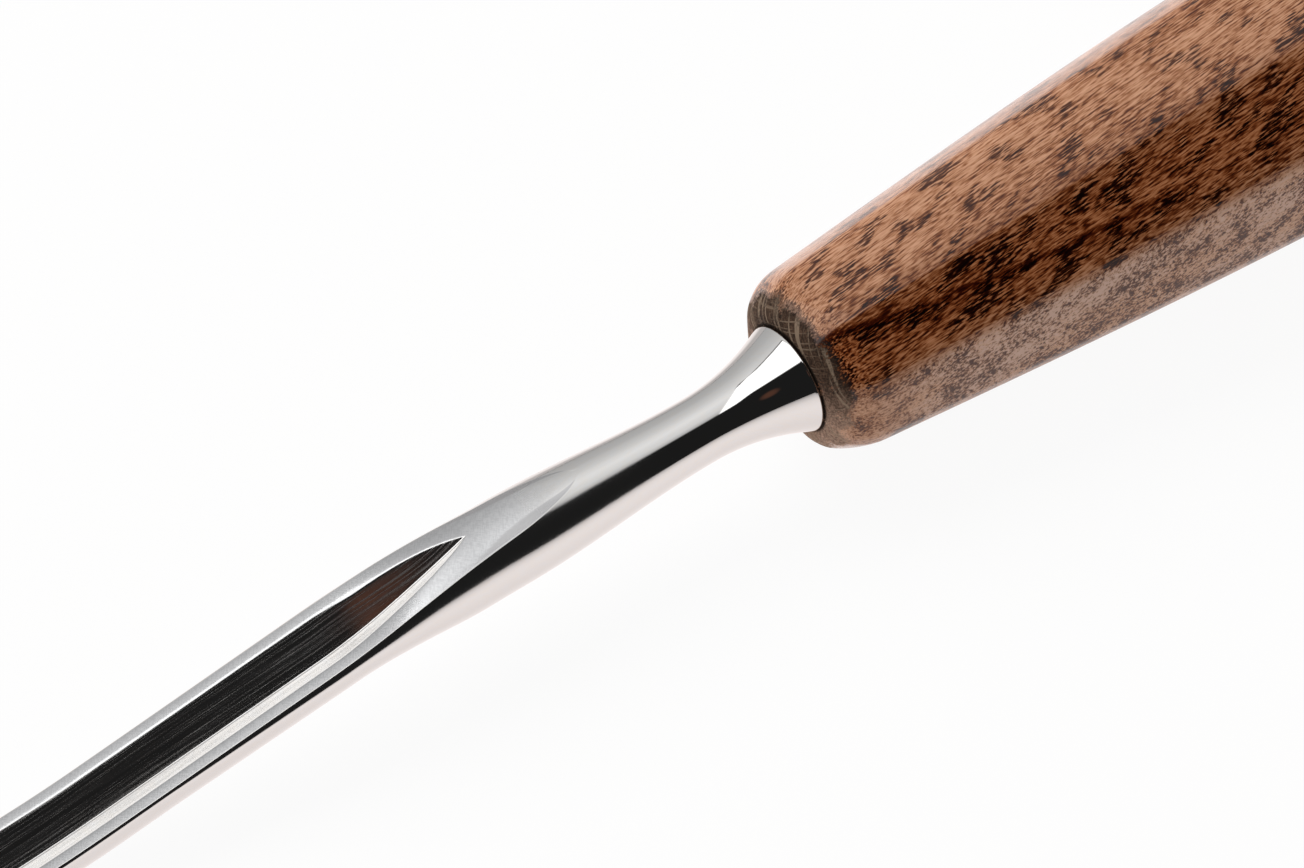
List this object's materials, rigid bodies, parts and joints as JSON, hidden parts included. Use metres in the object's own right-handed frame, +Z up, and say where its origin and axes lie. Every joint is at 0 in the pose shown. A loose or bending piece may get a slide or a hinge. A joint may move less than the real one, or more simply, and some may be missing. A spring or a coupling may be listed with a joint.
{
  "type": "bent v-gouge",
  "caption": "Bent V-gouge for wood carving: polished steel blade with a V channel, cranked down and swept up to the edge, its tang driven into a faceted stained-wood handle.",
  "frame": {"origin": "middle of the flat butt face of the handle, on the tool axis", "axes": "+X along the handle axis to the cutting edge, +Z up out of the channel, Y across the blade"},
  "size_m": [0.2658, 0.03, 0.03],
  "materials": {
    "polished_steel": "mirror polished outside, satin ground rims and channel",
    "stained_wood": "stained and waxed, dark flecks along the grain"
  },
  "bodies": {
    "root": {"blade": "polished_steel", "handle": "stained_wood"}
  },
  "joints": []
}
